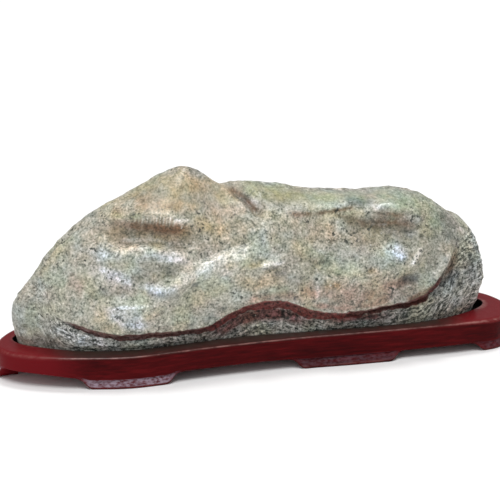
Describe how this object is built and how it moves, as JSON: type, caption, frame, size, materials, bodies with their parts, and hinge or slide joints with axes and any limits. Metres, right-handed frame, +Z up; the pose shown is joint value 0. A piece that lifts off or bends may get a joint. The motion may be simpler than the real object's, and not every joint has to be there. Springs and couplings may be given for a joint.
{
  "type": "scholars rock on a stand",
  "caption": "A mountain-shaped viewing stone with a hollowed, polished face over a rough skirt, seated in a low lacquered wood stand on carved feet",
  "frame": {"origin": "under the middle of the stand, on the surface that its feet rest on", "axes": "+X along the stand, -Y the side the stone's face looks to, +Z up"},
  "size_m": [0.4531, 0.1075, 0.1727],
  "materials": {
    "stone": "mottled grey-green, polished face, rough skirt",
    "lacquer": "dark red gloss lacquer"
  },
  "bodies": {
    "root": {"stone": "stone", "stand": "lacquer"}
  },
  "joints": []
}
